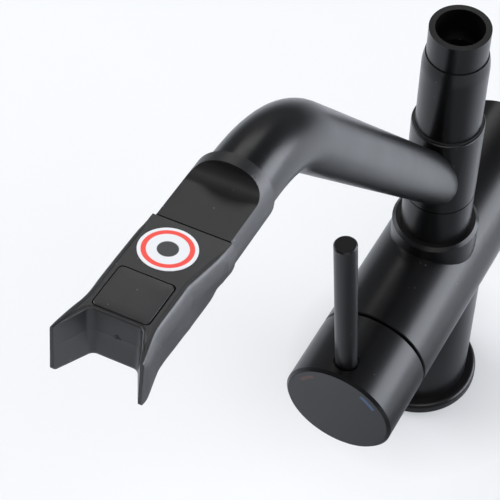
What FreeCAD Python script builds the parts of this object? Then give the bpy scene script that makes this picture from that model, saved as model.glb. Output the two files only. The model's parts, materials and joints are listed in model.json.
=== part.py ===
import FreeCAD
import Part

import math
import os

# Matt black single lever kitchen mixer with a swivel arm that ends in a magnetic fork.
# Millimetres. Z is up, the worktop's surface is Z = 0, the column stands on the origin,
# and the handle end of the barrel points along -Y.

# Base, from the worktop up
gasket_radius = 26.0
gasket_thickness = 1.0
flange_radius = 27.5
flange_thickness = 5.0
flange_edge_radius = 2.0
foot_recess = 2.0
column_radius = 22.8
column_bore_radius = 19.5
column_bore_top = 44.0

# Shank and its nut, under the worktop
shank_radius = 16.5
shank_bore_radius = 13.0
shank_bottom = -62.0
shank_grip = 16.0
shank_clearance = 0.5
worktop_room = 30.0
rubber_washer_radius = 27.0
rubber_washer_thickness = 3.0
steel_washer_radius = 26.0
steel_washer_thickness = 1.5
nut_flats = 46.0
nut_thickness = 10.0

# Barrel
barrel_height = 82.0
barrel_radius = 24.0
barrel_front = 54.6
barrel_rear = 72.0
barrel_edge_chamfer = 0.4
rear_bore_radius = 19.0
rear_bore_end = 26.0
rear_cap_thickness = 8.0
rear_cap_chamfer = 1.2
rear_spigot_length = 10.0
spigot_clearance = 0.1
rear_seal_section = 1.0

# Boss on the barrel, neck and riser
boss_radius = 18.3
boss_rise = 31.0
boss_chamfer = 1.4
riser_radius = 10.4
riser_bore_radius = 7.5
riser_seat_rise = 12.0
riser_seal_thickness = 1.0
neck_radius = 14.7
neck_length = 19.6
running_clearance = 0.05
swivel_washer_thickness = 0.6
hub_radius = 14.7
hub_length = 41.4
hub_bore_radius = 12.4
hub_edge_radius = 0.8
bush_length = 12.0

# Collar and upper tube above the hub
collar_radius = 13.2
collar_straight = 30.0
collar_length = 38.0
collar_tip_radius = 12.3
collar_shoulder_in = 0.25
collar_shoulder_up = 0.55
collar_grub_height = 13.0
collar_grub_radius = 2.0
collar_grub_socket = 2.0
collar_grub_recess = 0.3
upper_tube_radius = 11.9
upper_tube_start = 24.0
upper_tube_length = 27.0
upper_tube_socket = 9.0
outlet_thread_radius = 9.5
outlet_thread_length = 14.0

# Water ways
inlet_spacing = 15.0
inlet_thread_radius = 4.5
inlet_thread_length = 12.0
passage_radius = 3.5
inlet_port_drop = 6.0
outlet_port_rise = 8.0

# Cartridge, measured forward from the column's axis
cartridge_seat = 16.0
cartridge_seal_thickness = 0.6
cartridge_seal_radius = 5.4
cartridge_front = 44.0
cartridge_radius = 17.5
chamber_clearance = 0.1
mouth_radius = 19.5
mouth_depth = 12.6
rotor_rear = 34.0
rotor_radius = 12.0
stem_room_rear = 28.0
stem_room_radius = 9.0
pivot_forward = 40.0
stem_side = 8.0
stem_rear = 31.0
stem_front = 72.5
stem_clearance = 0.05
stem_swing_room = 1.9
stem_pin_radius = 1.5
stem_pin_recess = 0.5
retaining_nut_length = 5.0
retaining_nut_bore = 11.5
dome_inset = 2.8
dome_wall = 1.7
dome_hole_radius = 11.0
dome_clearance = 0.8

# Handle. It stands turned a little towards hot, as it was left.
handle_rest_turn = 3.0
lift_angle = 15.0
handle_gap = 1.5
handle_front = 87.7
handle_chamfer = 1.2
face_rim = 1.4
face_disc_thickness = 1.5
face_disc_clearance = 0.1
mark_rim = 2.1
mark_width = 1.8
mark_angle = 45.0
mark_half_angle = 12.0
mark_depth = 0.3
stem_socket_clearance = 0.05
lever_forward = 79.0
lever_radius = 4.6
lever_top = 98.5
lever_seat_depth = 2.0
lever_seat_radius = 5.3
lever_spigot_radius = 3.0
lever_spigot_length = 8.0
lever_edge = 0.5
handle_grub_forward = 68.0
handle_grub_radius = 2.5
handle_grub_length = 8.0
handle_grub_socket = 2.5

# Swivel arm. Its rest direction is turned a little from the barrel's.
arm_rest_turn = 3.5
arm_tube_radius = 10.5
arm_tube_bore = 9.0
arm_root_in_hub = 3.0
arm_rise_angle = 51.1
arm_root_start = 5.0
arm_bore_start = 34.0
arm_rise_length = 235.3
elbow_radius = 62.0
end_rise_angle = 10.2
end_tube_length = 4.9

# End fitting, measured back from the joint with the fork
flat_height = 5.45
fitting_radius = 11.8
fitting_length = 25.0
fitting_edge = 0.3
fitting_offset = -0.3
flat_length = 15.6
run_out_radius = 4.9
fitting_spigot_length = 4.5
tenon_width = 13.0
tenon_depth = 7.5
tenon_drop = 4.6
tenon_length = 9.0
tenon_clearance = 0.1

# Fork, measured outward from the joint. Its centre line lies left of the arm's.
joint_gap = 0.45
fork_offset = -2.1
fork_depth = 15.1
fork_corner = 0.8
fork_rear_left = -11.7
fork_rear_right = 10.8
fork_rear_length = 3.5
fork_right_step = 0.3
throat_start = 36.8
throat_root_half_top = 7.7
throat_root_half_bottom = 6.3
throat_tip_half_top = 11.8
throat_tip_half_bottom = 11.6
throat_corner_radius = 2.2
throat_edge_round = 0.25
tip_corner_radius = 1.0

# Stations along the fork: distance, half width of its flat top, rounding of the top's edge,
# half width of its side. The flare starts from the last straight one and ends at the tips.
fork_straight_stations = [
    (18.5, 9.60, 0.30, 11.30),
    (26.0, 9.60, 0.30, 10.90),
    (33.0, 9.60, 0.35, 10.75),
]
fork_flare_stations = [
    (35.0, 9.64, 0.45, 10.90),
    (37.0, 9.75, 0.70, 11.25),
    (39.0, 10.05, 0.90, 11.65),
    (41.0, 10.45, 1.00, 12.10),
    (43.0, 10.93, 0.95, 12.50),
    (45.0, 11.50, 0.75, 12.70),
    (47.0, 12.15, 0.25, 12.45),
]
cover_start = 20.4
cover_width = 15.6
cover_length = 15.3
cover_thickness = 2.0
cover_corner_radius = 1.3
cover_gap = 0.15
magnet_side = 11.0
magnet_thickness = 7.0
magnet_clearance = 0.1
label_forward = 9.9
label_offset = -2.3
label_radius = 7.75
label_thickness = 0.2
screw_forward = 5.0
screw_seat_depth = 1.0
screw_radius = 1.5
screw_head_radius = 2.8
screw_head_thickness = 1.8
screw_length = 10.0

X = FreeCAD.Vector(1, 0, 0)
Y = FreeCAD.Vector(0, 1, 0)
Z = FreeCAD.Vector(0, 0, 1)
ORIGIN = FreeCAD.Vector(0, 0, 0)


def point(x, y, z):
    return FreeCAD.Vector(x, y, z)


def post(radius, low, high, x=0.0, y=0.0):
    """Upright cylinder between two heights."""
    return Part.makeCylinder(radius, high - low, point(x, y, low), Z)


def ring(outer, inner, low, high):
    """Upright ring between two heights."""
    return post(outer, low, high).cut(post(inner, low, high))


def block(x0, x1, y0, y1, z0, z1):
    return Part.makeBox(x1 - x0, y1 - y0, z1 - z0, point(x0, y0, z0))


def prism(points, direction):
    """Flat outline through the points, pushed along a direction."""
    return Part.Face(Part.makePolygon(points + points[:1])).extrude(direction)


def hexagon(flats, low, high, x=0.0, y=0.0):
    corner = flats / 2.0 / math.cos(math.radians(30))
    points = []
    for step in range(6):
        angle = math.radians(60 * step)
        points.append(point(x + corner * math.cos(angle), y + corner * math.sin(angle), low))
    return prism(points, point(0, 0, high - low))


def turned(edges):
    """Solid of revolution about Z from profile edges in the XZ plane."""
    return Part.Face(Part.Wire(edges)).revolve(ORIGIN, Z, 360)


def line(a, b):
    return Part.LineSegment(a, b).toShape()


def arc(a, middle, b):
    return Part.Arc(a, middle, b).toShape()


def edges_at_height(shape, height):
    """Edges that lie wholly at one height."""
    found = []
    for edge in shape.Edges:
        box = edge.BoundBox
        if abs(box.ZMin - height) < 1e-4 and abs(box.ZMax - height) < 1e-4:
            found.append(edge)
    return found


def rim_edges(shape, height, radius):
    """Circular edges about Z of one radius at one height."""
    found = []
    for edge in edges_at_height(shape, height):
        if hasattr(edge.Curve, "Radius") and abs(edge.Curve.Radius - radius) < 1e-3:
            found.append(edge)
    return found


def on_barrel(shape):
    """From a frame whose Z runs forward along the barrel and Y up, to the tap's own frame."""
    placed = shape.copy()
    placed.rotate(ORIGIN, X, 90)
    placed.translate(point(0, 0, barrel_height))
    return placed


def on_handle(shape):
    """As on_barrel, turned about the barrel's axis by the handle's rest angle."""
    placed = shape.copy()
    placed.rotate(ORIGIN, Z, handle_rest_turn)
    return on_barrel(placed)


def on_arm(shape):
    """Turns what is modelled in the plane X = 0 to the arm's rest direction."""
    placed = shape.copy()
    placed.rotate(ORIGIN, Z, arm_rest_turn)
    return placed


def on_fork(shape):
    """From the fork's frame, with Z = 0 on its top face and -Y outward, to the tap's frame."""
    placed = shape.copy()
    placed.rotate(ORIGIN, X, -end_rise_angle)
    placed.translate(flat_centre)
    return on_arm(placed)


# Base and shank

flange_top = gasket_thickness + flange_thickness
foot_height = flange_top - foot_recess
washer_top = -worktop_room
steel_washer_top = washer_top - rubber_washer_thickness
nut_top = steel_washer_top - steel_washer_thickness
shank_way = shank_radius + shank_clearance


def base_gasket():
    return ring(gasket_radius, shank_way, 0, gasket_thickness)


def base_flange():
    body = post(flange_radius, gasket_thickness, flange_top)
    body = body.makeFillet(flange_edge_radius, rim_edges(body, flange_top, flange_radius))
    body = body.cut(post(shank_way, gasket_thickness, flange_top))
    return body.cut(post(column_radius, foot_height, flange_top))


def shank():
    return ring(shank_radius, shank_bore_radius, shank_bottom, foot_height + shank_grip)


def rubber_washer():
    return ring(rubber_washer_radius, shank_way, steel_washer_top, washer_top)


def steel_washer():
    return ring(steel_washer_radius, shank_way, nut_top, steel_washer_top)


def lock_nut():
    low = nut_top - nut_thickness
    return hexagon(nut_flats, low, nut_top).cut(post(shank_radius, low, nut_top))


# Body casting

boss_top = barrel_height + boss_rise
riser_bottom = barrel_height + riser_seat_rise


def water_ways():
    """Two inlet passages up from the hose threads to the seat, and one outlet to the riser."""
    tools = []
    port_height = barrel_height - inlet_port_drop
    for side in (-1, 1):
        x = side * inlet_spacing / 2.0
        thread_top = column_bore_top + inlet_thread_length
        tools.append(post(inlet_thread_radius, column_bore_top, thread_top, x))
        tools.append(post(passage_radius, thread_top, port_height, x))
        tools.append(Part.makeSphere(passage_radius, point(x, 0, port_height)))
        tools.append(Part.makeCylinder(passage_radius, cartridge_seat, point(x, 0, port_height), -Y))
    outlet_height = barrel_height + outlet_port_rise
    tools.append(Part.makeCylinder(passage_radius, cartridge_seat, point(0, 0, outlet_height), -Y))
    tools.append(Part.makeSphere(passage_radius, point(0, 0, outlet_height)))
    tools.append(post(passage_radius, outlet_height, riser_bottom))
    return tools


def mixer_body():
    """Column and barrel in one casting, with the boss that the neck stands on."""
    barrel = post(barrel_radius, -barrel_rear, barrel_front)
    rims = rim_edges(barrel, barrel_front, barrel_radius)
    barrel = on_barrel(barrel.makeChamfer(barrel_edge_chamfer, rims))
    boss = post(boss_radius, barrel_height, boss_top)
    boss = boss.makeChamfer(boss_chamfer, rim_edges(boss, boss_top, boss_radius))
    body = post(column_radius, foot_height, barrel_height).fuse([barrel, boss])
    chamber = post(cartridge_radius + chamber_clearance, cartridge_seat, barrel_front)
    mouth = post(mouth_radius, barrel_front - mouth_depth, barrel_front)
    rear_bore = post(rear_bore_radius, -barrel_rear, -rear_bore_end)
    tools = [
        post(shank_radius, foot_height, foot_height + shank_grip + shank_clearance),
        post(column_bore_radius, foot_height + shank_grip, column_bore_top),
        post(riser_radius, riser_bottom, boss_top),
        on_barrel(chamber),
        on_barrel(mouth),
        on_barrel(rear_bore),
    ]
    return body.cut(tools + water_ways()).removeSplitter()


def rear_cap():
    face = -barrel_rear - rear_cap_thickness
    cap = post(barrel_radius, face, -barrel_rear)
    cap = cap.makeChamfer(rear_cap_chamfer, rim_edges(cap, face, barrel_radius))
    spigot_radius = rear_bore_radius - spigot_clearance
    cap = cap.fuse(post(spigot_radius, -barrel_rear, -barrel_rear + rear_spigot_length))
    middle = -barrel_rear + rear_spigot_length / 2.0
    groove = ring(barrel_radius, rear_bore_radius - 2 * rear_seal_section,
                  middle - rear_seal_section, middle + rear_seal_section)
    return on_barrel(cap.cut(groove).removeSplitter())


def rear_cap_seal():
    middle = -barrel_rear + rear_spigot_length / 2.0
    section = rear_seal_section - running_clearance
    seal = Part.makeTorus(rear_bore_radius - rear_seal_section, section, point(0, 0, middle), Z)
    return on_barrel(seal)


# Riser stack

hub_bottom = boss_top + neck_length + swivel_washer_thickness
hub_top = hub_bottom + hub_length
collar_bottom = hub_top + swivel_washer_thickness
upper_tube_bottom = collar_bottom + upper_tube_start
upper_tube_top = upper_tube_bottom + upper_tube_length
riser_top = upper_tube_bottom + upper_tube_socket
riser_way = riser_radius + running_clearance


def riser_seal():
    return ring(riser_radius, riser_bore_radius, riser_bottom, riser_bottom + riser_seal_thickness)


def riser_tube():
    return ring(riser_radius, riser_bore_radius, riser_bottom + riser_seal_thickness, riser_top)


def neck_sleeve():
    return ring(neck_radius, riser_way, boss_top, boss_top + neck_length)


def swivel_washer(low):
    return ring(hub_radius - hub_edge_radius, riser_way, low, low + swivel_washer_thickness)


def riser_collar():
    """Collar with a long soft shoulder that ends at the upper tube."""
    top = collar_bottom + collar_length
    shoulder = collar_bottom + collar_straight
    inner = upper_tube_radius + running_clearance
    middle = point(collar_radius - collar_shoulder_in * (collar_radius - collar_tip_radius), 0,
                   shoulder + collar_shoulder_up * (top - shoulder))
    profile = [
        line(point(riser_way, 0, collar_bottom), point(collar_radius, 0, collar_bottom)),
        line(point(collar_radius, 0, collar_bottom), point(collar_radius, 0, shoulder)),
        arc(point(collar_radius, 0, shoulder), middle, point(collar_tip_radius, 0, top)),
        line(point(collar_tip_radius, 0, top), point(inner, 0, top)),
        line(point(inner, 0, top), point(inner, 0, upper_tube_bottom)),
        line(point(inner, 0, upper_tube_bottom), point(riser_way, 0, upper_tube_bottom)),
        line(point(riser_way, 0, upper_tube_bottom), point(riser_way, 0, collar_bottom)),
    ]
    hole = Part.makeCylinder(collar_grub_radius, collar_radius,
                             point(0, 0, collar_bottom + collar_grub_height), Y)
    return turned(profile).cut(hole)


def grub_screw(radius, start, end, flats):
    """Grub screw along Z whose hexagon socket opens at its end."""
    screw = post(radius, start, end)
    return screw.cut(hexagon(flats, end - flats, end))


def collar_grub_screw():
    screw = grub_screw(collar_grub_radius, riser_radius, collar_radius - collar_grub_recess,
                       collar_grub_socket)
    screw.rotate(ORIGIN, X, -90)
    screw.translate(point(0, 0, collar_bottom + collar_grub_height))
    return screw


def upper_tube():
    """Tube screwed on the riser's end, open at the top with the hose outlet's thread."""
    tube = post(upper_tube_radius, upper_tube_bottom, upper_tube_top)
    tube = tube.cut(post(riser_radius, upper_tube_bottom, riser_top))
    tube = tube.cut(post(riser_bore_radius, riser_top, upper_tube_top))
    return tube.cut(post(outlet_thread_radius, upper_tube_top - outlet_thread_length, upper_tube_top))


# Cartridge, in the barrel's frame

dome_radius = barrel_radius - dome_inset


def cartridge_ports():
    """Centres of the two inlet ports and the outlet port on the seat."""
    return [
        (-inlet_spacing / 2.0, -inlet_port_drop),
        (inlet_spacing / 2.0, -inlet_port_drop),
        (0.0, outlet_port_rise),
    ]


def cartridge_seals():
    rings = []
    high = cartridge_seat + cartridge_seal_thickness
    for x, y in cartridge_ports():
        outer = post(cartridge_seal_radius, cartridge_seat, high, x, y)
        rings.append(outer.cut(post(passage_radius, cartridge_seat, high, x, y)))
    return on_barrel(Part.makeCompound(rings))


def cartridge_body():
    low = cartridge_seat + cartridge_seal_thickness
    body = post(cartridge_radius, low, cartridge_front)
    tools = [
        post(rotor_radius + running_clearance, rotor_rear, cartridge_front),
        post(stem_room_radius, stem_room_rear, rotor_rear),
    ]
    for x, y in cartridge_ports():
        tools.append(post(passage_radius, low, (low + stem_room_rear) / 2.0, x, y))
    return on_barrel(body.cut(tools))


def pin_along_x(radius, half_length):
    return Part.makeCylinder(radius, 2 * half_length, point(-half_length, 0, pivot_forward), X)


def cartridge_rotor():
    """Disc that turns with the handle. The stem swings up and down in its slot."""
    low = rotor_rear + running_clearance
    high = cartridge_front - 2 * running_clearance
    body = post(rotor_radius, low, high)
    half_slot = stem_side / 2.0 + stem_clearance
    half_swing = stem_side / 2.0 + stem_swing_room
    slot = block(-half_slot, half_slot, -half_swing, half_swing, low, high)
    return on_handle(body.cut([slot, pin_along_x(stem_pin_radius, rotor_radius)]))


def stem_pin():
    return on_handle(pin_along_x(stem_pin_radius, rotor_radius - stem_pin_recess))


def cartridge_stem():
    half = stem_side / 2.0
    stem = block(-half, half, -half, half, stem_rear, stem_front)
    return on_handle(stem.cut(pin_along_x(stem_pin_radius + stem_clearance, half)))


def retaining_nut():
    high = cartridge_front + retaining_nut_length
    nut = post(mouth_radius - running_clearance, cartridge_front, high)
    return on_barrel(nut.cut(post(retaining_nut_bore, cartridge_front, high)))


def dome_cover():
    """Part of a hollow ball about the stem's pivot, closed round the stem."""
    low = cartridge_front + retaining_nut_length
    ball = Part.makeSphere(dome_radius, point(0, 0, pivot_forward))
    ball = ball.cut(Part.makeSphere(dome_radius - dome_wall, point(0, 0, pivot_forward)))
    keep = ring(dome_radius, dome_hole_radius, low, pivot_forward + dome_radius)
    return on_barrel(ball.common(keep))


# Handle, in the handle's frame

handle_rear = barrel_front + handle_gap
face_disc_radius = barrel_radius - face_rim
mark_outer_radius = face_disc_radius - mark_rim
mark_inner_radius = mark_outer_radius - mark_width
lever_seat = barrel_radius - lever_seat_depth


def across(radius, forward, low, high):
    """Cylinder square to the handle's axis, between two heights in its frame."""
    return Part.makeCylinder(radius, high - low, point(0, low, forward), Y)


def handle_drum():
    """Drum with a ball shaped hollow over the dome, and a slope that lets it lift."""
    drum = post(barrel_radius, handle_rear, handle_front)
    drum = drum.makeChamfer(handle_chamfer, rim_edges(drum, handle_front, barrel_radius))
    reach = 1.2 * barrel_radius
    slope = prism(
        [
            point(-reach, 0, handle_rear),
            point(-reach, -reach, handle_rear),
            point(-reach, -reach, handle_rear + reach * math.tan(math.radians(lift_angle))),
        ],
        point(2 * reach, 0, 0),
    )
    half = stem_side / 2.0 + stem_socket_clearance
    tools = [
        slope,
        Part.makeSphere(dome_radius + dome_clearance, point(0, 0, pivot_forward)),
        block(-half, half, -half, half, pivot_forward, stem_front + stem_clearance),
        post(face_disc_radius + face_disc_clearance, handle_front - face_disc_thickness, handle_front),
        across(lever_seat_radius, lever_forward, lever_seat, barrel_radius + 1),
        across(lever_spigot_radius, lever_forward, lever_seat - lever_spigot_length, lever_seat),
        across(handle_grub_radius, handle_grub_forward, -barrel_radius, -half),
    ]
    return on_handle(drum.cut(tools).removeSplitter())


def ring_sector(centre_angle, low, high):
    """Piece of a ring beside the face disc's edge. The angle is from straight up, clockwise."""
    sector = ring(mark_outer_radius, mark_inner_radius, low, high)
    spread = math.radians(mark_half_angle)
    reach = 2 * mark_outer_radius
    wedge = prism(
        [
            point(0, 0, low),
            point(-reach * math.sin(spread), reach * math.cos(spread), low),
            point(reach * math.sin(spread), reach * math.cos(spread), low),
        ],
        point(0, 0, high - low),
    )
    wedge.rotate(ORIGIN, Z, -centre_angle)
    return sector.common(wedge)


def colour_mark(side):
    return ring_sector(side * mark_angle, handle_front - mark_depth, handle_front)


def face_disc():
    disc = post(face_disc_radius, handle_front - face_disc_thickness, handle_front)
    return on_handle(disc.cut([colour_mark(-1), colour_mark(1)]))


def lever_pin():
    pin = across(lever_radius, lever_forward, lever_seat, lever_top)
    rims = [edge for edge in pin.Edges if abs(edge.BoundBox.YMin - lever_top) < 1e-4]
    pin = pin.makeChamfer(lever_edge, rims)
    spigot_low = lever_seat - lever_spigot_length
    return on_handle(pin.fuse(across(lever_spigot_radius, lever_forward, spigot_low, lever_seat)))


def handle_grub_screw():
    start = stem_side / 2.0
    screw = grub_screw(handle_grub_radius, start, start + handle_grub_length, handle_grub_socket)
    screw.rotate(ORIGIN, X, 90)
    screw.translate(point(0, 0, handle_grub_forward))
    return on_handle(screw)


# Swivel arm

rise_angle = math.radians(arm_rise_angle)
end_angle = math.radians(end_rise_angle)
rise_direction = point(0, -math.cos(rise_angle), math.sin(rise_angle))
end_direction = point(0, -math.cos(end_angle), math.sin(end_angle))
elbow_angle = arm_rise_angle - end_rise_angle
elbow_setback = elbow_radius * math.tan(math.radians(elbow_angle / 2.0))
arm_root = point(0, 0, hub_bottom + arm_root_in_hub)
bend_start = arm_root + rise_direction * arm_rise_length
bend_end = bend_start + (rise_direction + end_direction) * elbow_setback
tube_end = bend_end + end_direction * end_tube_length
fitting_axis = tube_end + end_direction * fitting_length
flat_centre = fitting_axis + point(0, math.sin(end_angle), math.cos(end_angle)) * flat_height


def bent_rod(radius, start):
    """Round rod along the arm's axis, from a distance up the rise to the end fitting."""
    begin = arm_root + rise_direction * start
    straight = Part.makeCylinder(radius, (bend_start - begin).Length, begin, rise_direction)
    disc = Part.Face(Part.Wire(Part.makeCircle(radius, bend_start, rise_direction)))
    inward = point(0, -math.sin(rise_angle), -math.cos(rise_angle))
    bend = disc.revolve(bend_start + inward * elbow_radius, X, elbow_angle)
    tail = Part.makeCylinder(radius, end_tube_length, bend_end, end_direction)
    return straight.fuse([bend, tail]).removeSplitter()


def swivel_arm():
    """Hub, rising tube, elbow and end tube, welded and ground into one piece."""
    hub = post(hub_radius, hub_bottom, hub_top)
    hub = hub.makeFillet(hub_edge_radius, rim_edges(hub, hub_top, hub_radius))
    arm = hub.fuse(bent_rod(arm_tube_radius, arm_root_start))
    arm = arm.cut([post(hub_bore_radius, hub_bottom, hub_top),
                   bent_rod(arm_tube_bore, arm_bore_start)])
    return on_arm(arm.removeSplitter())


def swivel_bush(low):
    return on_arm(ring(hub_bore_radius, riser_way, low, low + bush_length))


def outward(radius, start, end, x=0.0, z=0.0):
    """Cylinder along the fork's frame, between two distances outward from the joint."""
    return Part.makeCylinder(radius, end - start, point(x, -start, z), -Y)


def end_fitting():
    """Round bar with a flat that runs out in a hollow curve, a spigot and a tenon."""
    bar = outward(fitting_radius, -fitting_length, -joint_gap, fitting_offset, -flat_height)
    rims = [edge for edge in bar.Edges if abs(edge.BoundBox.YMin - fitting_length) < 1e-4]
    bar = bar.makeChamfer(fitting_edge, rims)
    reach = 2 * fitting_radius
    turn = math.radians(45)
    foot = point(-reach, flat_length, 0)
    middle = point(-reach, flat_length + run_out_radius * math.sin(turn),
                   run_out_radius * (1 - math.cos(turn)))
    top = point(-reach, flat_length + run_out_radius, run_out_radius)
    past = point(-reach, -1, reach)
    outline = [
        line(point(-reach, -1, 0), foot),
        arc(foot, middle, top),
        line(top, point(-reach, top.y, reach)),
        line(point(-reach, top.y, reach), past),
        line(past, point(-reach, -1, 0)),
    ]
    hollow = Part.Face(Part.Wire(outline)).extrude(point(2 * reach, 0, 0))
    spigot = outward(arm_tube_bore - running_clearance,
                     -fitting_length - fitting_spigot_length, -fitting_length, z=-flat_height)
    tenon = block(-tenon_width / 2.0, tenon_width / 2.0, -tenon_length, joint_gap,
                  -tenon_drop - tenon_depth, -tenon_drop)
    fitting = bar.cut(hollow).fuse([spigot, tenon])
    return on_fork(fitting.cut(screw_shape()).removeSplitter())


def screw_shape():
    """Countersunk screw from below, in the fork's frame."""
    low = -fork_rear_bottom()
    head = Part.makeCone(screw_head_radius, screw_radius, screw_head_thickness,
                         point(0, -screw_forward, low), Z)
    return head.fuse(post(screw_radius, low, low + screw_length, 0, -screw_forward))


# Fork

def fork_rear_bottom():
    """Depth of the fork's round rear end under its top face, less the screw's seat."""
    half = (fork_rear_right - fork_rear_left) / 2.0
    return flat_height + math.hypot(half, flat_height) - screw_seat_depth


def section(outward_by, centre, half_points):
    """Symmetric closed section: a flat top, then arcs through pairs of half width and height."""

    def at(side, pair):
        return point(centre + side * pair[0], -outward_by, pair[1])

    edges = [line(at(-1, half_points[0]), at(1, half_points[0]))]
    for side in (1, -1):
        for step in (0, 2, 4):
            first, middle, last = half_points[step:step + 3]
            edges.append(arc(at(side, first), at(side, middle), at(side, last)))
    bottom = half_points[6]
    edges.append(line(at(1, bottom), at(-1, bottom)))
    return Part.Wire(Part.__sortEdges__(edges))


def rear_section(outward_by, left, right):
    """Round section with a flat top."""
    half = (right - left) / 2.0
    radius = math.hypot(half, flat_height)
    top = math.degrees(math.atan2(flat_height, half))
    pairs = []
    for angle in (top, top - 3, top - 6, -10.0, -42.0, -62.0, -82.0):
        turn = math.radians(angle)
        pairs.append((radius * math.cos(turn), -flat_height + radius * math.sin(turn)))
    return section(outward_by, (left + right) / 2.0, pairs)


def front_section(outward_by, top_half, rounding, side_half):
    """Section with a flat top, bulged sides and a flat underside."""
    diagonal = math.sqrt(0.5)
    shoulder = top_half + rounding
    low = -fork_depth + fork_corner
    pairs = [
        (top_half, 0),
        (top_half + rounding * diagonal, -rounding * (1 - diagonal)),
        (shoulder, -rounding),
        (shoulder + 0.7 * (side_half - shoulder), -fork_depth * 0.4),
        (side_half, low),
        (side_half - fork_corner * (1 - diagonal), low - fork_corner * diagonal),
        (side_half - fork_corner, -fork_depth),
    ]
    return section(outward_by, fork_offset, pairs)


def fork_throat():
    """Tapered space between the prongs, open past their tips."""
    tip = fork_flare_stations[-1][0]
    reach = (tip - throat_start) * 1.5
    past = 1.0
    wires = []
    for height, root, end in (
        (past, throat_root_half_top, throat_tip_half_top),
        (-fork_depth - past, throat_root_half_bottom, throat_tip_half_bottom),
    ):
        wide = root + (end - root) * 1.5
        corners = [
            point(fork_offset - root, -throat_start, height),
            point(fork_offset + root, -throat_start, height),
            point(fork_offset + wide, -throat_start - reach, height),
            point(fork_offset - wide, -throat_start - reach, height),
        ]
        wires.append(Part.makePolygon(corners + corners[:1]))
    throat = Part.makeLoft(wires, True, True)
    uprights = []
    for edge in throat.Edges:
        box = edge.BoundBox
        if box.ZLength > fork_depth and abs(box.YMax + throat_start) < 1e-3:
            uprights.append(edge)
    return throat.makeFillet(throat_corner_radius, uprights)


def tip_corner():
    """What the rounding of the prongs' lower corners takes away."""
    tip = fork_flare_stations[-1][0]
    reach = 2 * fork_flare_stations[-1][3]
    high = -fork_depth + tip_corner_radius
    corner = block(-reach, reach, -tip - 1, -tip + tip_corner_radius, -fork_depth - 1, high)
    rounding = Part.makeCylinder(tip_corner_radius, 2 * reach,
                                 point(-reach, -tip + tip_corner_radius, high), X)
    return corner.cut(rounding)


def rounded_plate(width, length, corner, start, low, high):
    """Plate with rounded corners on the fork's centre line, from one distance outward."""
    plate = block(fork_offset - width / 2.0, fork_offset + width / 2.0,
                  -start - length, -start, low, high)
    corners = [edge for edge in plate.Edges if edge.BoundBox.ZLength > 0.9 * (high - low)]
    return plate.makeFillet(corner, corners)


def magnet_block(clearance):
    start = cover_start + (cover_length - magnet_side) / 2.0
    half = magnet_side / 2.0 + clearance
    top = -cover_thickness
    return block(fork_offset - half, fork_offset + half,
                 -start - magnet_side - clearance, -start + clearance,
                 top - magnet_thickness - clearance, top)


def fork_body():
    """Round where it meets the fitting, flat sided further out, and flared at the prongs."""
    straight = [
        rear_section(0.0, fork_rear_left, fork_rear_right),
        rear_section(fork_rear_length, fork_rear_left, fork_rear_right - fork_right_step),
    ]
    straight += [front_section(*station) for station in fork_straight_stations]
    flare = [front_section(*station) for station in fork_straight_stations[-1:] + fork_flare_stations]
    return Part.makeLoft(straight, True, True).fuse(Part.makeLoft(flare, True, False))


def round_throat_rim(holder):
    """Rounds the top edge all along the throat's walls."""
    rim = []
    for edge in edges_at_height(holder, 0.0):
        box = edge.BoundBox
        widest = max(abs(box.XMin - fork_offset), abs(box.XMax - fork_offset))
        if widest < throat_tip_half_top + 0.01 and box.YMax < -throat_start + 0.01:
            rim.append(edge)
    return holder.makeFillet(throat_edge_round, rim)


def fork_holder():
    """Moulded fork with a pocket for the fitting's tenon and a seat for the magnet."""
    pocket = block(-tenon_width / 2.0 - tenon_clearance, tenon_width / 2.0 + tenon_clearance,
                   -tenon_length - tenon_clearance, 0,
                   -tenon_drop - tenon_depth - tenon_clearance, -tenon_drop + tenon_clearance)
    gap = 2 * cover_gap
    recess = rounded_plate(cover_width + gap, cover_length + gap, cover_corner_radius + cover_gap,
                           cover_start - cover_gap, -cover_thickness, 0)
    seat = post(screw_head_radius, -fork_rear_bottom() - 2, -fork_rear_bottom(), 0, -screw_forward)
    holder = round_throat_rim(fork_body().cut([fork_throat(), tip_corner()]).removeSplitter())
    return on_fork(holder.cut([pocket, recess, magnet_block(magnet_clearance), screw_shape(), seat]))


def magnet_cover():
    return on_fork(rounded_plate(cover_width, cover_length, cover_corner_radius,
                                 cover_start, -cover_thickness, 0))


def round_label():
    return on_fork(post(label_radius, 0, label_thickness, label_offset, -label_forward))


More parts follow.
